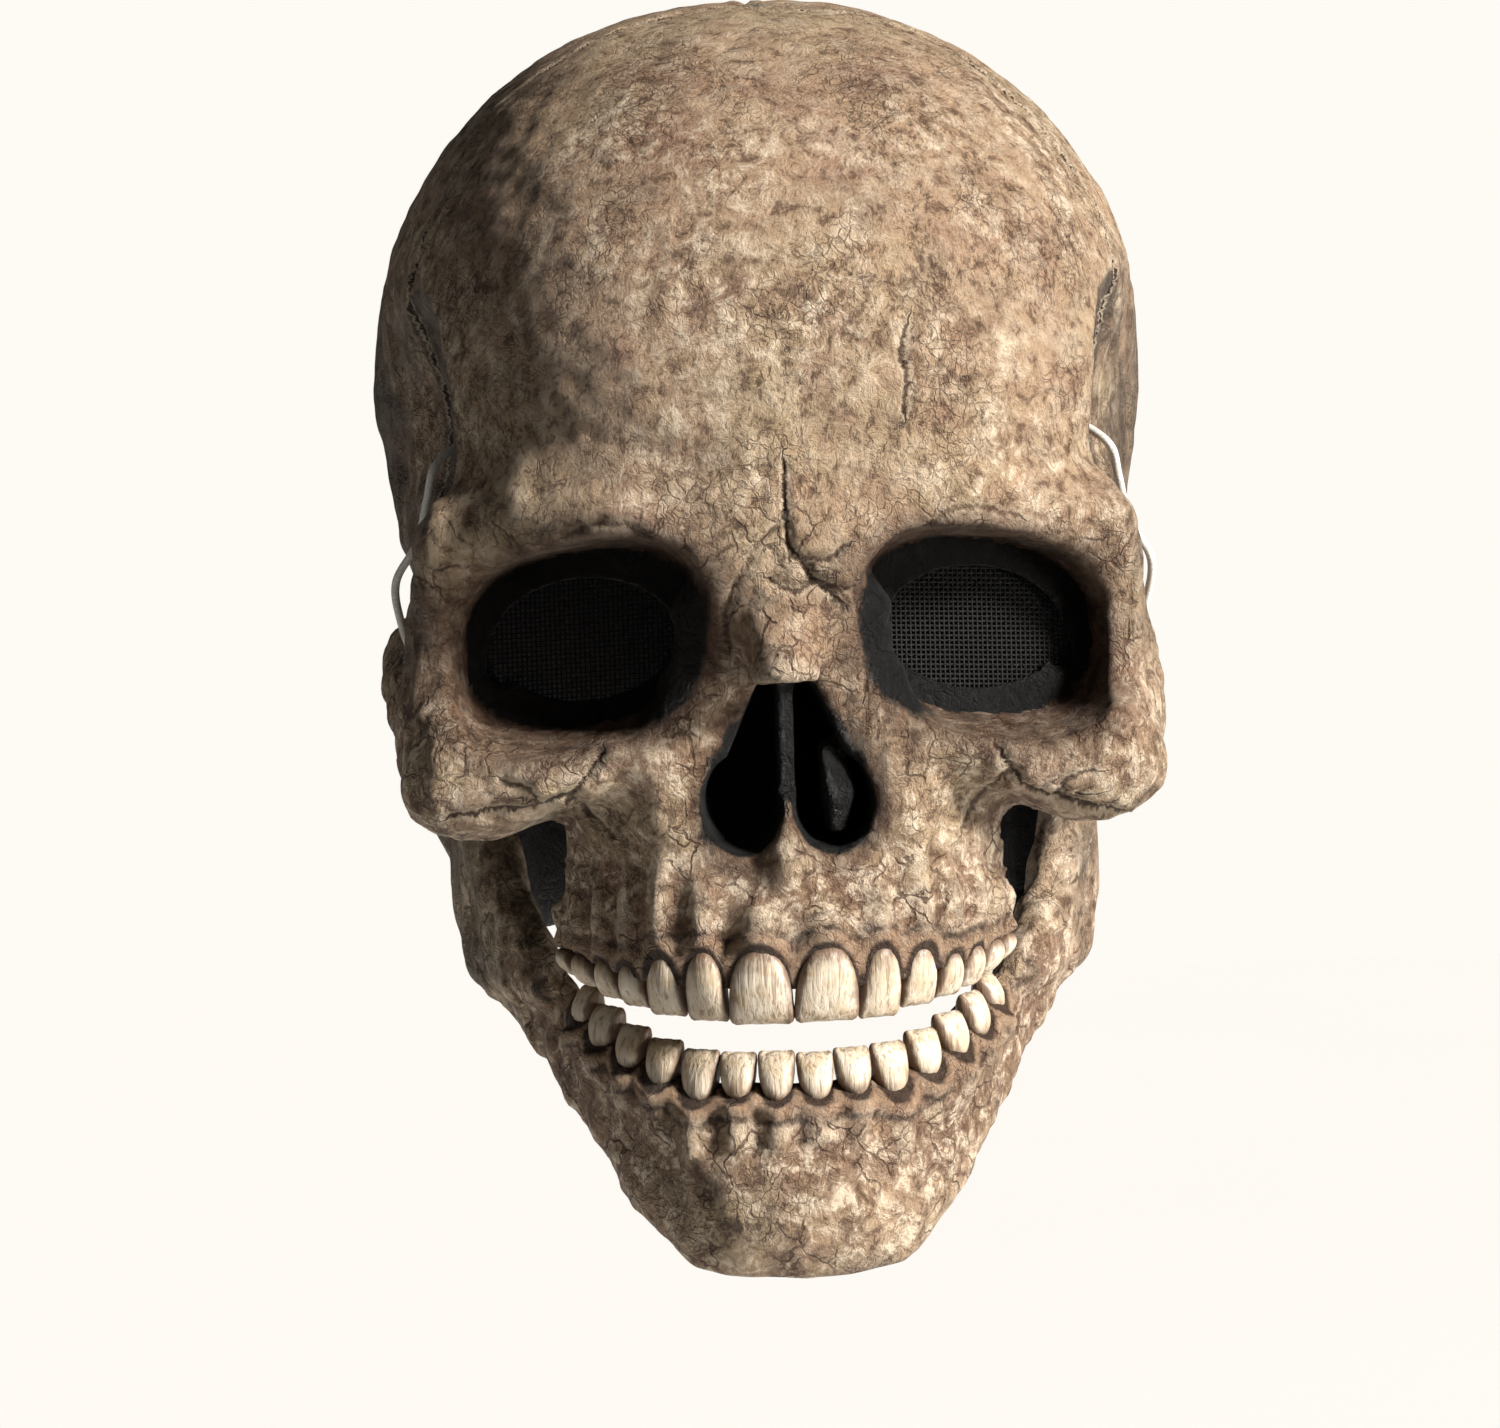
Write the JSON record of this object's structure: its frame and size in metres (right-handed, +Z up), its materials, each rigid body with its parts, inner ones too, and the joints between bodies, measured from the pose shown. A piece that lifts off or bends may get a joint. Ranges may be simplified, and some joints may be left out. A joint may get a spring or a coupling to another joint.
{
  "type": "full-head skull mask",
  "caption": "Full-head skull mask: a hollow cast skull with open sockets behind gauze, and a separate lower jaw hung on elastic cords.",
  "frame": {"origin": "inside of the crown, where the mask sits on the wearer's head", "axes": "+Z up, the face looks along -Y, +X to the wearer's left"},
  "size_m": [0.1924, 0.2485, 0.2993],
  "materials": {
    "skull_latex": "cast latex painted as weathered bone, matt, black inside",
    "jaw_latex": "cast latex painted as weathered bone, matt, black inside",
    "gauze_left": "black open-weave gauze",
    "gauze_right": "black open-weave gauze",
    "elastic_left": "white covered elastic cord",
    "elastic_right": "white covered elastic cord"
  },
  "bodies": {
    "root": {"skull_shell": "skull_latex", "jaw_shell": "jaw_latex", "eye_mesh_left": "gauze_left", "eye_mesh_right": "gauze_right", "jaw_cord_left": "elastic_left", "jaw_cord_right": "elastic_right"}
  },
  "joints": []
}
